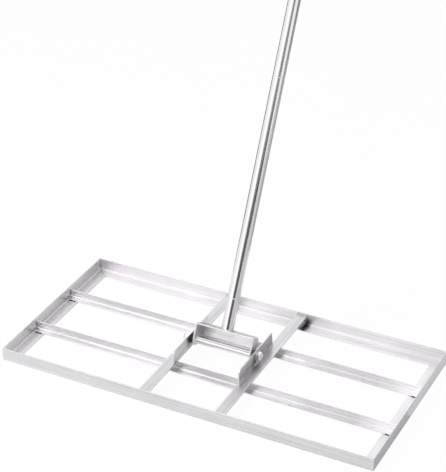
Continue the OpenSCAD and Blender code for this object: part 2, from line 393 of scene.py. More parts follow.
def steelMaterial(name, look):
    material, tree, shader = newMaterial(name)
    coordinates = addNode(tree, "ShaderNodeTexCoord").outputs
    place = coordinates["Object"]
    dark, light, edge = (steelColour(tone) for tone in look["tones"])
    grain = groupNode(tree, rolledGrain, {
        "Lengthwise": coordinates["UV"] if look.get("ownMap", True) else place, "Place": place,
        "Band Stretch": look["band"], "Hair Stretch": look["hair"], "Cloud Stretch": evenly(look["cloud"]),
    })
    edgeMask = addNode(tree, "ShaderNodeAttribute", attribute_name="edge").outputs["Fac"]
    edgeInputs = {"Edge": edgeMask, "Place": place, "Stretch": evenly(steelWear["patches"])}
    wearAndShade = groupNode(tree, wearAndShadeEdge, edgeInputs)["Wear And Shade"]
    streaked = mixColour(tree, grain["Tone"], dark, light)
    cloudShare = mathNode(tree, "MULTIPLY", grain["Cloud"], steelWear["cloudShare"])
    # the edge tone over the edge mask: worn edges on most pieces, painted shade on the rails and slats
    colour = mixColour(tree, wearAndShade, mixColour(tree, cloudShare, streaked, light), edge)
    # each painted patch lays its tone of painted light or shade over the colour
    for mark in look.get("paintedPatches", ()):
        mask = groupNode(tree, paintedPatch, {
            "Place": place, "Centre": mark["centre"], "Ragged Stretch": evenly(mark["ragged"]),
            "Inverse Reach": [1 / (reach * mm) if reach else 0 for reach in mark["reach"]],
        })["Mask"]
        share = mathNode(tree, "MULTIPLY", mask, mark["strength"])
        colour = mixColour(tree, share, colour, steelColour(mark["tone"]))
    low, high = look["rough"]
    spread = mathNode(tree, "MULTIPLY", grain["Tone"], grain["Cloud"])
    rough = rangeNode(tree, spread, 0.0, steelWear["smoothAt"], high, low)
    worn = mathNode(tree, "SUBTRACT", rough, mathNode(tree, "MULTIPLY", wearAndShade, steelWear["smoother"]))
    normal = bumpNode(tree, grain["Hair"], look)
    setInputs(tree, shader, {"Base Color": colour, "Roughness": worn, "Metallic": 1.0, "Normal": normal})
    return material


mouldedLooks = {
    "spacerNylon": {
        "dark": (0.050, 0.050, 0.053, 1), "light": (0.095, 0.095, 0.10, 1), "rough": (0.42, 0.58),
        "pits": 1500, "patches": 60, "bump": 0.15, "depth": 0.08 * mm,
    },
    "nutNylon": {
        "dark": (0.55, 0.56, 0.58, 1), "light": (0.68, 0.69, 0.70, 1), "rough": (0.40, 0.55),
        "pits": 1500, "patches": 60, "bump": 0.12, "depth": 0.06 * mm,
    },
    "gripRubber": {
        "dark": (0.070, 0.070, 0.075, 1), "light": (0.115, 0.115, 0.12, 1), "rough": (0.62, 0.80),
        "pits": 900, "patches": 35, "bump": 0.30, "depth": 0.12 * mm,
    },
}


def mouldedMaterial(name, look):
    material, tree, shader = newMaterial(name)
    place = addNode(tree, "ShaderNodeTexCoord").outputs["Object"]
    skin = groupNode(tree, mouldedSkin, {
        "Place": place, "Pit Stretch": evenly(look["pits"]), "Patch Stretch": evenly(look["patches"]),
    })
    colour = mixColour(tree, skin["Patches"], look["dark"], look["light"])
    rough = rangeNode(tree, skin["Patches"], 0.0, 1.0, *look["rough"])
    normal = bumpNode(tree, skin["Pits"], look)
    setInputs(tree, shader, {"Base Color": colour, "Roughness": rough, "Normal": normal})
    return material


finishes = {name: steelMaterial(name, look) for name, look in steelLooks.items()}
finishes.update({name: mouldedMaterial(name, look) for name, look in mouldedLooks.items()})
print("finishes made:", ", ".join(finishes))


# surfaces

# Places points by three measures: an origin, plus each measure times its own axis
def placer(origin, *axes):
    def place(*measures):
        return np.stack(np.broadcast_arrays(*measures), axis=-1) @ np.array(axes) + origin

    return place


onPivot = placer(pivot, backwards, upwards, across)
onHandle = placer(pivot, across, handleBack, handleUp)


# Extent of a handle piece: its vertices projected on the handle's axis, and their largest distance from it
def handleSpan(name):
    mesh = frame["nodes"][name].data
    points = np.empty(len(mesh.vertices) * 3, np.float32)
    mesh.vertices.foreach_get("co", points)
    offset = points.reshape(-1, 3) - pivot
    height = offset @ handleUp
    radius = np.linalg.norm(offset - height[:, None] * handleUp, axis=1)
    return height.min(), height.max(), radius.max()


# Plane vectors turned through the angles whose cosines and sines are given
def turnedBy(vectors, cosine, sine):
    sideways = vectors[..., 0] * cosine - vectors[..., 1] * sine
    upright = vectors[..., 0] * sine + vectors[..., 1] * cosine
    return np.stack([sideways, upright], axis=2)


supportShape = {"wearAndShade": 0.6, "largestShare": 1 / 3}  # support points beside an arc


# Outline with rounded corners: each corner is cut back by radius times tan of half its turn, and bridged by
# an arc about the point one radius from both edges. Support points beside the arcs keep the flats flat.
# Gives the points, their outward normals and an edge mask that is full on the outer corners.
def roundedOutline(corners, radii, shape):
    steps, reach = shape["arcSteps"], np.asarray(shape["supports"])
    point = np.asarray(corners, float)
    radius = np.asarray(radii, float)
    into = point - np.roll(point, 1, axis=0)
    length = np.linalg.norm(into, axis=1)
    into = into / length[:, None]
    out = np.roll(into, -1, axis=0)
    turn = np.arctan2(into[:, 0] * out[:, 1] - into[:, 1] * out[:, 0], (into * out).sum(axis=1))
    cut = radius * np.tan(np.abs(turn) / 2)
    start = point - into * cut[:, None]
    side = np.sign(turn)[:, None]
    centre = start + side * radius[:, None] * np.stack([-into[:, 1], into[:, 0]], axis=1)
    sweep = turn[:, None] * np.linspace(0, 1, steps + 1)
    cosine, sine = np.cos(sweep), np.sin(sweep)
    arc = centre[:, None, :] + turnedBy((start - centre)[:, None, :], cosine, sine)
    outward = np.stack([into[:, 1], -into[:, 0]], axis=1)[:, None, :]
    arcNormal = turnedBy(outward, cosine, sine)
    straight = np.maximum(length - cut - np.roll(cut, 1), 0)
    longest = straight[:, None] * supportShape["largestShare"]
    reachIn = np.minimum(reach[None, ::-1], longest)
    reachOut = np.minimum(reach[None, :], np.roll(longest, -1, axis=0))
    before = arc[:, :1] - into[:, None, :] * reachIn[..., None]
    after = arc[:, -1:] + out[:, None, :] * reachOut[..., None]
    points = np.concatenate([before, arc, after], axis=1)
    normals = np.pad(arcNormal, ((0, 0), (len(reach), len(reach)), (0, 0)), "edge")
    fade = (1 - reach / reach.max()) * supportShape["wearAndShade"]
    mask = np.concatenate([fade[::-1], np.ones(steps + 1), fade])
    edge = mask[None, :] * (turn > 0)[:, None]
    return points.reshape(-1, 2), normals.reshape(-1, 2), edge.reshape(-1)


# Running length round a closed line, with the closing step at the end
def runningLength(points):
    steps = np.linalg.norm(np.roll(points, -1, axis=0) - points, axis=1)
    return np.concatenate([[0], np.cumsum(steps)])


# One closed shell from rings of points: quads between neighbouring rings, and a flat face on each end ring
# unless the rings close on themselves. Faces are turned so that the shell's signed volume is positive.
def shellFromRings(rings, along, around, closedAlong=False, edge=None):
    ringCount, pointCount = rings.shape[:2]
    points = rings.reshape(-1, 3)
    first = np.arange(ringCount if closedAlong else ringCount - 1)[:, None, None] + np.array([0, 0, 1, 1])
    second = np.arange(pointCount)[None, :, None] + np.array([0, 1, 1, 0])
    quads = (first % ringCount * pointCount + second % pointCount).reshape(-1, 4)
    along = np.asarray(along)
    alongGrid = np.broadcast_to(along if along.ndim == 2 else along[:, None], (len(along), pointCount + 1))
    aroundGrid = np.broadcast_to(np.asarray(around)[None, :], alongGrid.shape)
    grid = np.stack([alongGrid, aroundGrid], axis=2)
    quadMap = grid[first, second].reshape(-1, 2)
    corner = points[quads]
    volume = (np.cross(corner[:, 0], corner[:, 1]) * corner[:, 2]).sum()
    volume += (np.cross(corner[:, 0], corner[:, 2]) * corner[:, 3]).sum()
    caps, capMap = [], []
    if not closedAlong:
        for start, order in ((0, -1), ((ringCount - 1) * pointCount, 1)):
            cap = (start + np.arange(pointCount))[::order]
            fan = points[cap]
            caps.append(cap)
            capMap.append(fan[:, np.argsort(np.ptp(fan, axis=0))[1:]])
            volume += (np.cross(fan[0], fan[1:-1]) * fan[2:]).sum()
    if volume < 0:
        quads = quads[:, ::-1]
        quadMap = quadMap.reshape(-1, 4, 2)[:, ::-1].reshape(-1, 2)
        caps = [cap[::-1] for cap in caps]
        capMap = [part[::-1] for part in capMap]
    mask = np.broadcast_to(0.0 if edge is None else edge, (ringCount, pointCount)).reshape(-1)
    faces = quads.tolist() + [cap.tolist() for cap in caps]
    return {"points": points, "faces": faces, "map": np.concatenate([quadMap] + capMap), "edge": mask}


sharpAngle = 38  # degrees: faces that meet at more than this have a sharp edge


# A piece of the scene: its shells in one mesh, with a map in metres and an edge mask
def makePiece(name, shells, finish, body, replaced=()):
    faces, start = [], 0
    for shell in shells:
        faces.extend([[start + corner for corner in face] for face in shell["faces"]])
        start += len(shell["points"])
    joined = {key: np.concatenate([shell[key] for shell in shells]) for key in ("points", "map", "edge")}
    mesh = bpy.data.meshes.new(name)
    mesh.from_pydata(joined["points"].tolist(), [], faces)
    ownMap = mesh.uv_layers.new(name="lengthwise")
    ownMap.data.foreach_set("uv", joined["map"].astype(np.float32).ravel())
    mask = mesh.attributes.new("edge", "FLOAT", "POINT")
    mask.data.foreach_set("value", joined["edge"].astype(np.float32))
    mesh.polygons.foreach_set("use_smooth", np.ones(len(mesh.polygons), bool))
    mesh.set_sharp_from_angle(angle=math.radians(sharpAngle))
    mesh.materials.append(finishes[finish])
    mesh.update()
    piece = bpy.data.objects.new(name, mesh)
    scene.collection.objects.link(piece)
    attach(piece, body)
    if replaced:
        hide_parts(*replaced)


# Length of bar: its outline carried along a straight line. ends gives each outline point's half length, and
# the last ring on each side is drawn in by the bevel.
def barShell(outline, normals, edge, place, ends, shape):
    bevel, stations = shape["endBevel"], shape["stations"]
    inner = np.linspace(-1, 1, stations)[:, None] * (ends - bevel)[None, :]
    drawnIn = outline - normals * bevel
    middle = place(inner, outline[None, :, 0], outline[None, :, 1])
    low = place(-ends[None, :], drawnIn[None, :, 0], drawnIn[None, :, 1])
    high = place(ends[None, :], drawnIn[None, :, 0], drawnIn[None, :, 1])
    along = np.concatenate([-ends[None, :], inner, ends[None, :]])
    along = np.concatenate([along, along[:, :1]], axis=1)
    endMask = np.ones((1, len(edge)))
    mask = np.concatenate([endMask, np.broadcast_to(edge, (stations, len(edge))), endMask])
    return shellFromRings(np.concatenate([low, middle, high]), along, runningLength(outline), edge=mask)


# rails

railShape = {
    "wall": 3.0 * mm, "fillet": 3.0 * mm, "heel": 1.1 * mm, "toe": 0.8 * mm,
    "endBevel": 0.4 * mm,  # at the mitres, where it leaves a fine groove between two rails
    "arcSteps": 5, "supports": (0.3 * mm, 2.5 * mm), "stations": 25,
}


def angleOutline(leg, shape):
    wall = shape["wall"]
    corners = [(0, 0), (leg, 0), (leg, wall), (wall, wall), (wall, leg), (0, leg)]
    radii = [shape["heel"], shape["toe"], shape["toe"], shape["fillet"], shape["toe"], shape["toe"]]
    return roundedOutline(corners, radii, shape)


def makeRails():
    frontLow, frontHigh = nodeBox("front_rail")
    back = nodeBox("back_rail")[1][1]
    left, right, front = frontLow[0], frontHigh[0], frontLow[1]
    halfWidth, halfDepth, middle = (right - left) / 2, (back - front) / 2, (back + front) / 2
    outline, normals, edge = angleOutline(frontHigh[2] - frontLow[2], railShape)
    for name, node, origin, direction, inward, half in (
            ("frontRail", "front_rail", (0, front, 0), across, backwards, halfWidth),
            ("backRail", "back_rail", (0, back, 0), -across, -backwards, halfWidth),
            ("leftRail", "left_rail", (left, middle, 0), -backwards, across, halfDepth),
            ("rightRail", "right_rail", (right, middle, 0), backwards, -across, halfDepth)):
        place = placer(origin, direction, inward, upwards)
        ends = half - outline[:, 0]  # mitre: shorter by as much as a point lies inwards
        shell = barShell(outline, normals, edge, place, ends, railShape)
        makePiece(name, [shell], name + "Steel", "frame", [node])


makeRails()
print("rails made")


# slats

slatShape = {
    "wall": 3.0 * mm, "fillet": 2.5 * mm, "heel": 0.9 * mm, "toe": 0.7 * mm,
    "cope": 3.0 * mm,  # the foot stops short of the side rail's fillet
    "endBevel": 0.3 * mm, "arcSteps": 5, "supports": (0.3 * mm, 2.2 * mm), "stations": 25,
}


def makeSlat(name, node):
    low, high = nodeBox(node)
    outline, normals, edge = angleOutline(high[2] - low[2], slatShape)
    inFoot = outline[:, 1] < slatShape["wall"] + slatShape["endBevel"] / 2
    ends = high[0] - slatShape["cope"] * inFoot
    place = placer((0, high[1], low[2]), across, -backwards, upwards)
    shell = barShell(outline, normals, edge, place, ends, slatShape)
    makePiece(name, [shell], name + "Steel", "frame", [node])


makeSlat("frontSlat", "front_slat")
makeSlat("backSlat", "back_slat")
print("slats made")


# cross bars

barShape = {
    "edge": 0.9 * mm, "endBevel": 0.3 * mm, "arcSteps": 5, "supports": (0.3 * mm, 2.5 * mm), "stations": 21,
}


def makeCrossBar(name, node):
    low, high = nodeBox(node)
    corners = [(low[0], low[2]), (high[0], low[2]), (high[0], high[2]), (low[0], high[2])]
    radii = [barShape["edge"]] * len(corners)
    outline, normals, edge = roundedOutline(corners, radii, barShape)
    place = placer((0, (low[1] + high[1]) / 2, 0), backwards, across, upwards)
    ends = np.full(len(outline), (high[1] - low[1]) / 2)
    shell = barShell(outline, normals, edge, place, ends, barShape)
    makePiece(name, [shell], "barSteel", "frame", [node])


makeCrossBar("leftCrossBar", "left_cross_bar")
makeCrossBar("rightCrossBar", "right_cross_bar")
print("cross bars made")


lengthDigits = 7  # points closer than a tenth of a micrometre count as one


# Points added evenly between an outline's own points, and its normals in step
def refineOutline(outline, normals, count):
    length = runningLength(outline)
    evenSteps = np.linspace(0, length[-1], count, endpoint=False)
    at = np.unique(np.round(np.concatenate([length[:-1], evenSteps]), lengthDigits))
    both = np.concatenate([outline, normals], axis=1)
    closed = np.concatenate([both, both[:1]])
    finer = np.stack([np.interp(at, length, column) for column in closed.T], axis=1)
    finerNormals = finer[:, 2:]
    return finer[:, :2], finerNormals / np.linalg.norm(finerNormals, axis=1, keepdims=True)


insetRims = 2  # a plate's flat face ends this many rim radii inside its outline


# Plate with a round hole: rows run from the hole over one face, round the rim and back over the other face.
# Each face is a fan of strips from the hole to the outline.
def plateShell(corners, radii, shape, thickness, place):
    outline, normals, _ = roundedOutline(corners, radii, shape)
    outline, normals = refineOutline(outline, normals, shape["points"])
    faceSteps, rimSteps, rim = shape["faceSteps"], shape["rimSteps"], shape["rim"]
    angle = np.arctan2(outline[:, 1], outline[:, 0])
    bore = shape["hole"] * np.stack([np.cos(angle), np.sin(angle)], axis=1)
    inset = outline - normals * rim * insetRims
    share = np.linspace(0, 1, faceSteps + 1)[:, None, None]
    face = bore + (inset - bore) * share
    lean = np.linspace(0, math.pi / 2, rimSteps + 1)[:, None, None]
    rimRows = outline - normals * rim * (1 - np.sin(lean))
    rimDepth = rim * (1 - np.cos(lean[:, 0, 0]))
    flat = np.zeros(faceSteps + 1)
    rows = np.concatenate([face, rimRows, rimRows[::-1], face[::-1]])
    depth = np.concatenate([flat, rimDepth, thickness - rimDepth[::-1], flat + thickness])
    mask = np.concatenate([flat, np.ones(2 * rimSteps + 2), flat])
    rings = place(rows[..., 0], rows[..., 1], depth[:, None])
    shell = shellFromRings(rings, np.arange(len(rows) + 1.0), runningLength(outline), True, mask[:, None])
    meshCorners = np.array(shell["faces"]).reshape(-1)
    shell["map"] = rows.reshape(-1, 2)[meshCorners]  # the plate's own length and height, for its streaks
    return shell


# ears

earShape = {
    "frontRound": 11.0 * mm, "backLean": 6.0 * mm, "corner": 1.2 * mm, "footCorner": 0.6 * mm,
    "hole": 6.1 * mm, "rim": 0.7 * mm, "rimSteps": 4, "faceSteps": 4, "arcSteps": 8,
    "supports": (0.4 * mm, 2.0 * mm), "points": 220,
}


def makeEar(name, node):
    low, high = nodeBox(node)
    front, back = low[1] - pivot[1], high[1] - pivot[1]
    bottom, top = low[2] - pivot[2], high[2] - pivot[2]
    corners = [(front, bottom), (back, bottom), (back - earShape["backLean"], top), (front, top)]
    radii = [earShape[key] for key in ("footCorner", "footCorner", "corner", "frontRound")]
    place = placer(pivot + low[0] * across, backwards, upwards, across)
    shell = plateShell(corners, radii, earShape, high[0] - low[0], place)
    makePiece(name, [shell], name + "Steel", "frame", [node])


makeEar("leftEar", "left_ear")
makeEar("rightEar", "right_ear")
print("ears made")


def fullTurn(count):
    return np.linspace(0, 2 * math.pi, count, endpoint=False)


# Rings about an axis, with one radius for each height and angle. The map runs along the mean outline, unless
# along says otherwise, and round a circle of the given radius.
def turnedRings(place, radius, height, mapRadius, closed=True, along=None, edge=None):
    count = radius.shape[1]
    angle = fullTurn(count)
    rings = place(radius * np.cos(angle), radius * np.sin(angle), height[:, None])
    if along is None:
        along = runningLength(np.stack([radius.mean(axis=1), height], axis=1))
        along = along if closed else along[:-1]
    return shellFromRings(rings, along, np.linspace(0, 2 * math.pi, count + 1) * mapRadius, closed, edge)


# Ring or solid of revolution: a closed outline of (radius, height) turned about an axis. The outline is
# closed on itself, so the shell has no ends.
def turnedShell(corners, radii, shape, place):
    outline, _, edge = roundedOutline(corners, radii, shape)
    radius = np.repeat(outline[:, :1], shape["around"], axis=1)
    return turnedRings(place, radius, outline[:, 1], radius.max(), edge=edge[:, None] * shape["wearAndShade"])


# Plain ring or tube between two radii and two heights
def ringShell(inner, outer, low, high, innerRound, outerRound, shape, place):
    corners = [(inner, low), (outer, low), (outer, high), (inner, high)]
    return turnedShell(corners, [innerRound, outerRound, outerRound, innerRound], shape, place)


# pivot: washers, spacers and sleeve

washer = {
    "bore": 6.1 * mm, "round": 0.5 * mm, "finish": "turnedSteel", "body": "frame", "slot": "fastener_steel",
}
spacer = {
    "bore": 6.1 * mm, "round": 0.8 * mm, "finish": "spacerNylon", "body": "frame", "slot": "spacer_nylon",
}
sleeve = {
    "bore": 6.05 * mm, "round": 0.3 * mm, "finish": "sleeveSteel", "body": "handle", "slot": "tube_steel",
}
ringShape = {"around": 96, "arcSteps": 4, "supports": (0.2 * mm, 1.0 * mm), "wearAndShade": 0.5}


def makePivotRing(name, node, kind):
    low, high = nodeBox(node)
    radius, outerRound = (high[1] - low[1]) / 2, kind["round"]
    shell = ringShell(kind["bore"], radius, low[0], high[0], outerRound / 2, outerRound, ringShape, onPivot)
    makePiece(name, [shell], kind["finish"], kind["body"], [node])


makePivotRing("headWasher", "head_washer", washer)
makePivotRing("nutWasher", "nut_washer", washer)
makePivotRing("leftSpacer", "left_spacer", spacer)
makePivotRing("rightSpacer", "right_spacer", spacer)
makePivotRing("pivotSleeve", "pivot_sleeve", sleeve)
print("washers, spacers and sleeve made")


# pivot bolt and nut

boltShape = {
    "shank": 6.0 * mm, "flats": 9.5 * mm, "cone": 30, "topShare": 0.93,
    "faceRadius": 9.0 * mm, "faceDepth": 0.4 * mm, "faceBreak": 0.2 * mm, "sidesFrom": 1.0 * mm,
    "sideRows": 14, "dish": 0.35 * mm, "dishShares": (0.92, 0.86, 0.5, 0.05), "axisGap": 0.2 * mm,
    "pitch": 1.75 * mm, "threadDepth": 1.0 * mm, "threadLength": 30 * mm, "tipBreak": 1.0 * mm,
    "turnSteps": 10, "plainRows": 6, "around": 96,
}


# Hexagon cut by a cone: radius is the flat's distance over the cosine of the angle from its middle, no more
# than the cone allows at each height. Two of its flats face up and down.
def hexRadius(angle, height, top, shape):
    fromMiddle = angle % (math.pi / 3) - math.pi / 6
    flats = shape["flats"] / np.cos(fromMiddle)
    cone = shape["topShare"] * shape["flats"] + (top - height) / math.tan(math.radians(shape["cone"]))
    return np.minimum(flats[None, :], cone[:, None])


# Rows of one radius each, as wide as the rows whose radius changes with the angle
def roundRows(radii, angle):
    return np.repeat(np.asarray(radii)[:, None], len(angle), axis=1)


# Bolt head: bearing face, flats up to the cone, flat ring and a shallow dish
def boltHead(seat, top, angle):
    shape = boltShape
    foot = seat + shape["faceDepth"]
    breaks = [foot, foot + shape["faceBreak"]]
    sideHeight = np.concatenate([breaks, np.linspace(foot + shape["sidesFrom"], top, shape["sideRows"])])
    sides = hexRadius(angle, sideHeight, top, shape)
    faceRadius = [shape["axisGap"], shape["shank"], shape["faceRadius"], shape["faceRadius"]]
    faceHeight = [seat, seat, seat, foot]
    dishShares = np.array(shape["dishShares"])
    dishHeight = top - shape["dish"] * (np.arange(len(dishShares)) > 0)
    dishRadius = shape["topShare"] * shape["flats"] * dishShares
    radius = np.concatenate([roundRows(faceRadius, angle), sides, roundRows(dishRadius, angle)])
    height = np.concatenate([faceHeight, sideHeight, dishHeight])
    return turnedRings(onPivot, radius, height, shape["flats"], closed=False)


# Shank: plain, then a thread whose radius is a triangle wave of height over pitch less angle over a turn
def boltShank(tip, seat, angle):
    shape = boltShape
    threadEnd = tip + shape["threadLength"]
    threadHeight = np.arange(tip, threadEnd, shape["pitch"] / shape["turnSteps"])
    phase = (threadHeight[:, None] / shape["pitch"] - angle[None, :] / (2 * math.pi)) % 1
    fade = np.clip((threadEnd - threadHeight) / shape["pitch"], 0, 1)[:, None]
    tipFade = np.clip((threadHeight - tip) / shape["tipBreak"], 0, 1)[:, None]
    threadRadius = shape["shank"] - shape["threadDepth"] * np.abs(2 * phase - 1) * fade
    threadRadius = np.minimum(threadRadius, shape["shank"] - shape["threadDepth"] * (1 - tipFade))
    plainHeight = np.linspace(threadEnd, seat, shape["plainRows"])
    radius = np.concatenate([threadRadius, roundRows([shape["shank"]] * shape["plainRows"], angle)])
    height = np.concatenate([threadHeight, plainHeight])
    return turnedRings(onPivot, radius, height, shape["flats"], closed=False, along=height - tip)


def makeBolt():
    low, high = nodeBox("pivot_bolt")
    seat = nodeBox("head_washer")[1][0]
    angle = fullTurn(boltShape["around"])
    shells = [boltHead(seat, high[0], angle), boltShank(low[0], seat, angle)]
    makePiece("pivotBolt", shells, "boltSteel", "frame", ["pivot_bolt"])


nutShape = {
    "flats": 9.5 * mm, "topShare": 0.95, "cone": 30, "hexHeight": 8.5 * mm, "hexRows": 22, "bore": 6.05 * mm,
    "collar": 8.6 * mm, "collarRound": 1.6 * mm, "collarRows": 6, "around": 96,
}
insertShape = {
    "radius": 7.2 * mm, "depth": 2.6 * mm, "drop": 0.4 * mm, "gap": 0.1 * mm, "round": 0.1 * mm, "wearAndShade": 0,
    "arcSteps": 3, "supports": (0.1 * mm, 0.3 * mm), "around": 96,
}


# Lock nut: a hexagon broken by cones on both faces, a rolled collar over it, and a nylon ring in the collar
def makeNut():
    shape = nutShape
    low, high = nodeBox("pivot_nut")
    angle = fullTurn(shape["around"])
    hexTop, nutTop = shape["hexHeight"], high[0] - low[0]
    hexHeight = np.linspace(0, hexTop, shape["hexRows"])
    upper = hexRadius(angle, hexHeight, hexTop, shape)
    sides = np.minimum(upper, hexRadius(angle, hexTop - hexHeight, hexTop, shape))
    lean = np.linspace(0, math.pi / 2, shape["collarRows"])
    crownRadius = shape["collar"] - shape["collarRound"] * (1 - np.cos(lean))
    crownHeight = nutTop - shape["collarRound"] * (1 - np.sin(lean))
    recess, bore, insertRadius = nutTop - insertShape["depth"], shape["bore"], insertShape["radius"]
    innerRadius = [insertRadius, insertRadius, bore, bore]
    collarRadius = np.concatenate([[shape["collar"]], crownRadius, innerRadius])
    radius = np.concatenate([sides, roundRows(collarRadius, angle)])
    height = np.concatenate([hexHeight, [hexTop], crownHeight, [nutTop, recess, recess, 0]])
    place = placer(pivot + high[0] * across, backwards, upwards, -across)
    body = turnedRings(place, radius, height, shape["flats"])
    makePiece("pivotNut", [body], "boltSteel", "frame", ["pivot_nut"])
    nylonLow, nylonTop = recess + insertShape["gap"], nutTop - insertShape["drop"]
    rounds = [insertShape["round"]] * 2
    insert = ringShell(bore, insertRadius, nylonLow, nylonTop, *rounds, insertShape, place)
    makePiece("nutInsert", [insert], "nutNylon", "frame")


makeBolt()
makeNut()
print("bolt and nut made")


# yoke

yokeShape = {**railShape, "endBevel": 0.3 * mm, "stations": 9}  # same wall and rounds as a rail
armShape = {
    "backRound": 8.0 * mm, "frontCorner": 1.2 * mm, "hole": 6.05 * mm, "rim": 0.7 * mm, "rimSteps": 4,
    "faceSteps": 4, "arcSteps": 16, "supports": (0.3 * mm, 2.5 * mm), "points": 160,
}


# Leg and top of the yoke: an arm reaches half a leg below the pivot, and up to the top
def yokeSize():
    low, top, _ = handleSpan("yoke_right_arm")
    return -2 * low, top


def makeYokeAngle(leg, top):
    outline, normals, edge = angleOutline(leg, yokeShape)
    place = placer(onHandle(0, leg / 2, top), across, -handleBack, -handleUp)
    ends = np.full(len(outline), nodeBox("yoke_angle")[1][0])
    shell = barShell(outline, normals, edge, place, ends, yokeShape)
    makePiece("yokeAngle", [shell], "yokeSteel", "handle", ["yoke_angle"])


def makeYokeArm(name, node, finish, leg, top):
    low, high = nodeBox(node)
    half = leg / 2
    corners = [(-half, -half), (half, -half), (half, top), (-half, top)]
    radii = [half, half, armShape["backRound"], armShape["frontCorner"]]
    place = placer(pivot + low[0] * across, handleBack, handleUp, across)
    shell = plateShell(corners, radii, armShape, high[0] - low[0], place)
    makePiece(name, [shell], finish, "handle", [node])


yokeLeg, yokeTop = yokeSize()
makeYokeAngle(yokeLeg, yokeTop)
makeYokeArm("yokeLeftArm", "yoke_left_arm", "leftArmSteel", yokeLeg, yokeTop)
makeYokeArm("yokeRightArm", "yoke_right_arm", "rightArmSteel", yokeLeg, yokeTop)
print("yoke made")


# handle tubes

tubeShape = {
    "wall": 1.5 * mm, "endBreak": 1.25 * mm, "boreBreak": 0.2 * mm, "arcSteps": 4,
    "supports": (0.3 * mm, 2.0 * mm), "wearAndShade": 0.7, "around": 128,
}


def makeTube(name, node):
    low, high, radius = handleSpan(node)
    shape, inner = tubeShape, radius - tubeShape["wall"]
    shell = ringShell(inner, radius, low, high, shape["boreBreak"], shape["endBreak"], shape, onHandle)
    makePiece(name, [shell], "tubeSteel", "handle", [node])


makeTube("handleStub", "handle_stub")
makeTube("lowerTube", "lower_tube")
makeTube("middleTube", "middle_tube")
makeTube("upperTube", "upper_tube")
print("handle tubes made")


# grip

gripShape = {
    "bore": 14.4 * mm, "wall": 1.7 * mm, "mouthRound": 0.3 * mm, "lipLength": 3.0 * mm, "lipRound": 1.0 * mm,
    "neckRound": 0.5 * mm, "endThick": 3.0 * mm, "endRound": 2.9 * mm, "axisGap": 0.3 * mm,
    "arcSteps": 6, "supports": (0.3 * mm, 2.0 * mm), "wearAndShade": 0, "around": 96,
}


def makeGrip():
    shape = gripShape
    low, high, lip = handleSpan("grip")
    bore, body, axis = shape["bore"], shape["bore"] + shape["wall"], shape["axisGap"]
    lipTop, floor = low + shape["lipLength"], high - shape["endThick"]
    corners = [(bore, low), (lip, low), (lip, lipTop), (body, lipTop),
               (body, high), (axis, high), (axis, floor), (bore, floor)]
    radii = [shape["mouthRound"], shape["lipRound"], shape["lipRound"], shape["neckRound"],
             shape["endRound"], 0, 0, shape["mouthRound"]]
    shell = turnedShell(corners, radii, shape, onHandle)
    makePiece("handGrip", [shell], "gripRubber", "handle", ["grip"])


makeGrip()
print("grip made")


# welds, and near-black beads of painted shadow under the slat feet

weldShape = {
    "slatLeg": 2.4 * mm, "shadowBeadLeg": 1.7 * mm, "shadowBeadInset": 5.0 * mm, "barLeg": 2.6 * mm, "earLeg": 2.2 * mm,
    "yokeLeg": 2.4 * mm, "stubLeg": 2.6 * mm, "stitch": 22 * mm, "stitchShares": (0.0, 0.5, 1.0),
    "clear": 1.5 * mm, "sink": 0.15 * mm, "step": 0.35 * mm, "arcSteps": 8, "mapGirth": 4 * mm,
    "ripplePitch": 1.9 * mm, "ripple": 0.10, "lag": 0.5, "bulge": 1.35, "endPower": 12, "endLeast": 0.02,
    "edgeGap": 0.2 * mm, "leastSine": 0.1,
}


# Bead in a corner: at each station a superellipse between two legs, whose size swells and shrinks with the
# ripple. The ripple lags towards the legs, which gives its crescents.
def beadShell(path, legA, legB, sizeA, sizeB, closed=False):
    shape = weldShape
    run = np.concatenate([[0], np.cumsum(np.linalg.norm(np.diff(path, axis=0), axis=1))])
    lean = np.linspace(0, math.pi / 2, shape["arcSteps"] + 1)
    lag = shape["lag"] * (lean / (math.pi / 4) - 1) ** 2
    wave = 1 + shape["ripple"] * np.cos(2 * math.pi * (run[:, None] / shape["ripplePitch"] + lag[None, :]))
    if not closed:
        taper = 1 - (2 * run / run[-1] - 1) ** shape["endPower"]
        wave = wave * np.sqrt(np.clip(taper, shape["endLeast"], 1))[:, None]
    power, root = 2 / shape["bulge"], np.full((len(path), 1), -shape["sink"])
    reachA = np.concatenate([np.maximum(sizeA * wave * np.cos(lean) ** power, root), root], axis=1)
    reachB = np.concatenate([np.maximum(sizeB * wave * np.sin(lean) ** power, root), root], axis=1)
    rings = path[:, None, :] + reachA[..., None] * legA + reachB[..., None] * legB
    around = np.linspace(0, shape["mapGirth"], rings.shape[1] + 1)
    along = np.append(run, run[-1] + shape["step"]) if closed else run
    return shellFromRings(rings, along, around, closed)


def straightBead(start, end, legA, legB, leg):
    start, end = np.asarray(start, float), np.asarray(end, float)
    count = int(np.linalg.norm(end - start) / weldShape["step"])
    path = start + (end - start) * np.linspace(0, 1, count)[:, None]
    size = np.full((count, 1), leg)
    return beadShell(path, legA, legB, size, size)


# Beads of one slat on a side rail: a near-black bead before its foot, painted shadow under the foot's front edge,
# and seams behind it and up the rail's web
def slatBeads(node, side):
    low, high = nodeBox(node)
    leg, clear, wall = weldShape["slatLeg"], weldShape["clear"], railShape["wall"]
    outer, footReach = nodeBox("right_rail")[1][0], nodeBox("right_rail")[0][0]
    near, far = side * (footReach + clear), side * (outer - railShape["fillet"] - wall)
    inset, face = side * (footReach + weldShape["shadowBeadInset"]), side * (outer - wall)
    front, back, web = low[1], high[1], high[1] - slatShape["wall"]
    cornerGap = 2 * wall  # keeps the upright seam off the slat's foot
    shadowBead = straightBead((inset, front, wall), (far, front, wall), -backwards, upwards, weldShape["shadowBeadLeg"])
    behind = straightBead((near, back, wall), (far, back, wall), backwards, upwards, leg)
    start, end = (face, web, low[2] + cornerGap), (face, web, high[2] - clear)
    return shadowBead, [behind, straightBead(start, end, -side * across, -backwards, leg)]


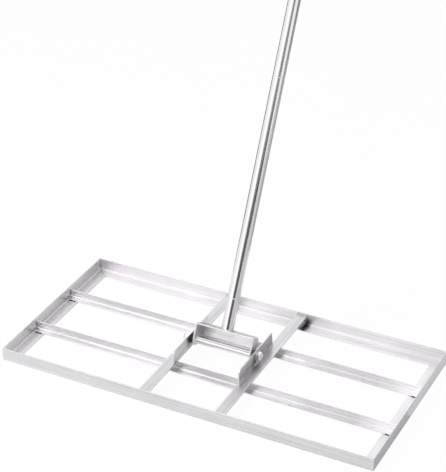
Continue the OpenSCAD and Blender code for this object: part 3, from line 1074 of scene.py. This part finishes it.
# Beads across both ends of a cross bar, on the front and the back rail
def barBeads(node):
    low, high = nodeBox(node)
    clear, wall = weldShape["clear"], railShape["wall"]
    frontInner, backInner = nodeBox("front_rail")[0][1] + wall, nodeBox("back_rail")[1][1] - wall
    beads = []
    for face, away in ((frontInner, backwards), (backInner, -backwards)):
        start, end = (low[0] + clear, face, high[2]), (high[0] - clear, face, high[2])
        beads.append(straightBead(start, end, away, upwards, weldShape["barLeg"]))
    return beads


# Short stitches along an ear's foot, on the side of the cross bar
def earBeads(node, side):
    low, high = nodeBox(node)
    clear, stitch = weldShape["clear"], weldShape["stitch"]
    outside = high[0] if side > 0 else low[0]
    room = high[1] - low[1] - 2 * clear - stitch
    beads = []
    for share in weldShape["stitchShares"]:
        begin = low[1] + clear + share * room
        start, end = (outside, begin, low[2]), (outside, begin + stitch, low[2])
        beads.append(straightBead(start, end, side * across, upwards, weldShape["earLeg"]))
    return beads


def makeFrameWelds():
    seams, shadowBeads, barSeams, stitches = [], [], [], []
    for side, hand in ((-1, "left"), (1, "right")):
        for node in ("front_slat", "back_slat"):
            shadowBead, beads = slatBeads(node, side)
            shadowBeads.append(shadowBead)
            seams.extend(beads)
        barSeams.extend(barBeads(hand + "_cross_bar"))
        stitches.extend(earBeads(hand + "_ear", side))
    makePiece("slatWelds", seams, "weldSteel", "frame")
    # painted shadow under the front edge of each slat foot
    makePiece("slatFootShadowBeads", shadowBeads, "paintedShadowSteel", "frame")
    makePiece("barWelds", barSeams, "seamSteel", "frame")
    makePiece("earWelds", stitches, "seamSteel", "frame")


# Beads inside the yoke's angle, where its plate and its web meet the arms
def makeYokeWelds():
    leg, wall, half = weldShape["yokeLeg"], yokeShape["wall"], yokeLeg / 2
    webFace, plateFace = half - wall, yokeTop - wall
    cornerGap = 2 * wall  # keeps the seams out of the angle's inner corner
    reach = nodeBox("yoke_angle")[1][0]
    beads = []
    for side in (-1, 1):
        end, inward = side * reach, -side * across
        plateStart = onHandle(end, -half + weldShape["clear"], plateFace)
        plateEnd = onHandle(end, webFace - cornerGap, plateFace)
        webStart = onHandle(end, webFace, yokeTop - yokeLeg + cornerGap)
        webEnd = onHandle(end, webFace, plateFace - cornerGap)
        beads.append(straightBead(plateStart, plateEnd, inward, -handleUp, leg))
        beads.append(straightBead(webStart, webEnd, inward, -handleBack, leg))
    makePiece("yokeWelds", beads, "seamSteel", "handle")


# Ring round the stub, held back where the yoke's plate is hardly wider than the tube
def makeStubWeld():
    shape = weldShape
    base, _, radius = handleSpan("handle_stub")
    angle = fullTurn(int(2 * math.pi * radius / shape["step"]))
    outward = np.cos(angle)[:, None] * across + np.sin(angle)[:, None] * handleBack
    path = pivot + base * handleUp + radius * outward
    sine = np.maximum(np.abs(np.sin(angle)), shape["leastSine"])
    edge = (yokeLeg / 2 - shape["edgeGap"]) / sine - radius
    sizeA = np.minimum(shape["stubLeg"], edge / (1 + shape["ripple"]))[:, None]
    sizeB = np.full_like(sizeA, shape["stubLeg"])
    ring = beadShell(path, outward[:, None, :], handleUp, sizeA, sizeB, True)
    makePiece("stubWeld", [ring], "seamSteel", "handle")


makeFrameWelds()
makeYokeWelds()
makeStubWeld()
print("welds made")


# pieces inside the handle keep their solids

for node in ("stub_socket", "lower_spigot", "lower_socket", "middle_spigot", "middle_socket", "upper_spigot"):
    slots = frame["nodes"][node].data.materials
    slots.clear()
    slots.append(finishes["threadSteel"])
print("inside pieces finished")


# floor, world, lamps, cards and floor flags

stageLook = {
    "floorHalf": 9.0, "floorDrop": 0.3 * mm, "floorColour": (0.86, 0.86, 0.86, 1), "floorGlow": 0.96,
    "floorMirrored": 0.36, "white": (1, 1, 1, 1), "worldLevel": 0.5, "sheetRough": 0.9,
    "paleHeights": (1.4, 2.05),  # a card changes from its tone to its top tone between these heights
}


def levelCorners(low, high, height):
    (left, front), (right, back) = low, high
    return [(left, front, height), (right, front, height), (right, back, height), (left, back, height)]


# One four-sided sheet of the stage
def makeSheet(name, points, material):
    mesh = bpy.data.meshes.new(name)
    mesh.from_pydata(points, [], [(0, 1, 2, 3)])
    mesh.materials.append(material)
    sheet = bpy.data.objects.new(name, mesh)
    scene.collection.objects.link(sheet)
    return sheet


def floorMaterial():
    material = bpy.data.materials.new("paleFloor")
    material.use_nodes = True
    tree = material.node_tree
    tree.nodes.clear()
    lit = addNode(tree, "ShaderNodeBsdfDiffuse", {"Color": stageLook["floorColour"]})
    glow = addNode(tree, "ShaderNodeEmission", {"Color": stageLook["white"], "Strength": 1.0})
    path = addNode(tree, "ShaderNodeLightPath").outputs
    seen = mathNode(tree, "MULTIPLY", path["Is Camera Ray"], stageLook["floorGlow"])
    mirrored = mathNode(tree, "MULTIPLY", path["Is Glossy Ray"], stageLook["floorMirrored"])
    share = mathNode(tree, "MAXIMUM", seen, mirrored)
    mixed = addNode(tree, "ShaderNodeMixShader", {0: share, 1: lit.outputs[0], 2: glow.outputs[0]})
    addNode(tree, "ShaderNodeOutputMaterial", {"Surface": mixed.outputs[0]})
    return material


def makeFloor():
    half = stageLook["floorHalf"]
    corners = levelCorners((-half, -half), (half, half), -stageLook["floorDrop"])
    makeSheet("floor", corners, floorMaterial())


def seenDirectly(tree):
    path = addNode(tree, "ShaderNodeLightPath").outputs
    either = mathNode(tree, "MAXIMUM", path["Is Camera Ray"], path["Is Glossy Ray"])
    return mathNode(tree, "MAXIMUM", either, path["Is Transmission Ray"])


def makeWorld():
    world = bpy.data.worlds.new("studio")
    scene.world = world
    world.use_nodes = True
    tree = world.node_tree
    tree.nodes.clear()
    strength = rangeNode(tree, seenDirectly(tree), 0.0, 1.0, stageLook["worldLevel"], 1.0)
    sky = addNode(tree, "ShaderNodeBackground", {"Color": stageLook["white"], "Strength": strength})
    addNode(tree, "ShaderNodeOutputWorld", {"Surface": sky.outputs[0]})


# mirrored: whether the steel shows the lamp
lamps = {
    "keyLamp": {"at": (-2.3, -1.9, 3), "aim": (0, 0.2, 0.1), "side": 1.2, "watts": 112, "mirrored": False},
    "fillLamp": {"at": (2, 1.5, 1), "aim": (0.5, 0.4, 0), "side": 0.8, "watts": 12, "mirrored": False},
    "frontLamp": {"at": (-1.5, -2.9, 1.9), "aim": (0, 0.2, 0.1), "side": 2.4, "watts": 4, "mirrored": True},
    "topLamp": {"at": (-1.3, -1.5, 2.6), "aim": (0, 0.2, 0), "side": 1.0, "watts": 8, "mirrored": True},
    "backLamp": {"at": (-1.3, 2.8, 1.9), "aim": (0, 0.2, 0), "side": 2.0, "watts": 3, "mirrored": True},
}


def facing(place, aim):
    away = unit(np.array(place) - np.array(aim))
    side = unit(np.cross(upwards, away))
    return standing(place, side, np.cross(away, side))


def makeLamps():
    for name, lamp in lamps.items():
        data = bpy.data.lights.new(name, "AREA")
        data.shape = "RECTANGLE"
        data.size = data.size_y = lamp["side"]
        data.energy = lamp["watts"]
        lampObject = bpy.data.objects.new(name, data)
        lampObject.matrix_world = facing(lamp["at"], lamp["aim"])
        lampObject.visible_glossy = lamp["mirrored"]
        scene.collection.objects.link(lampObject)


# Dull grey of a sheet that changes with the height above the floor
def sheetMaterial(name, tone, topTone):
    material, tree, shader = newMaterial(name)
    place = addNode(tree, "ShaderNodeTexCoord").outputs["Object"]
    height = addNode(tree, "ShaderNodeSeparateXYZ", {0: place}).outputs["Z"]
    grey = rangeNode(tree, height, *stageLook["paleHeights"], tone, topTone)
    setInputs(tree, shader, {"Base Color": grey, "Roughness": stageLook["sheetRough"]})
    return material


# studio cards that the metal mirrors: out of the camera's sight
cards = {
    "frontCard": {
        "at": (2.2, -3.4, 1.9), "aim": (0.0, 0.45, 0.5), "size": (6.4, 2.4), "topShare": 0.30,
        "tone": 0.09, "topTone": 0.38,
    },
    "backCard": {"at": (1.9, 2.6, 1.5), "aim": (0.0, 0.2, 0.2), "size": (2.4, 2.2), "tone": 0.56},
    "rightCard": {"at": (2.3, -0.3, 0.3), "aim": (0.0, 0.3, 0.3), "size": (3.0, 0.6), "tone": 0.7},
    "rightSkirt": {"at": (2.05, 1.9, 0.35), "aim": (0.0, 0.4, 0.35), "size": (2.6, 0.7), "tone": 0.25},
    "leftSkirt": {"at": (-2.05, 1.9, 0.35), "aim": (0.0, 0.4, 0.35), "size": (2.6, 0.7), "tone": 0.35},
}


def makeCards():
    for name, card in cards.items():
        width, height = card["size"]
        top = width * card.get("topShare", 1.0)
        corners = [(-width, -height, 0), (width, -height, 0), (top, height, 0), (-top, height, 0)]
        matrix = np.array(facing(card["at"], card["aim"]))
        points = np.array(corners) / 2 @ matrix[:3, :3].T + matrix[:3, 3]
        material = sheetMaterial(name, card["tone"], card.get("topTone", card["tone"]))
        sheet = makeSheet(name, points.tolist(), material)
        sheet.visible_camera = False
        sheet.visible_shadow = False


# grey strips on the floor beside the frame, there for mirrors alone: they line the edges of the tube
floorFlags = {
    "rightFlag": {"low": (0.1, 0.66), "high": (2.6, 3.2), "tone": 0.42},
    "nearFlag": {"low": (0.6, -1.2), "high": (1.7, 0.66), "tone": 0.5},
    "sideFlag": {"low": (0.4575, -0.12), "high": (0.6, 0.2), "tone": 0.82},
    "leftFlag": {"low": (-2.6, 0.52), "high": (-0.2, 2.6), "tone": 0.22},
}
flagLift = 1 * mm


def makeFlags():
    for name, flag in floorFlags.items():
        corners = levelCorners(flag["low"], flag["high"], flagLift)
        sheet = makeSheet(name, corners, sheetMaterial(name, flag["tone"], flag["tone"]))
        sheet.visible_camera = False
        sheet.visible_diffuse = False
        sheet.visible_shadow = False


makeFloor()
makeWorld()
makeLamps()
makeCards()
makeFlags()
print("floor and light made")
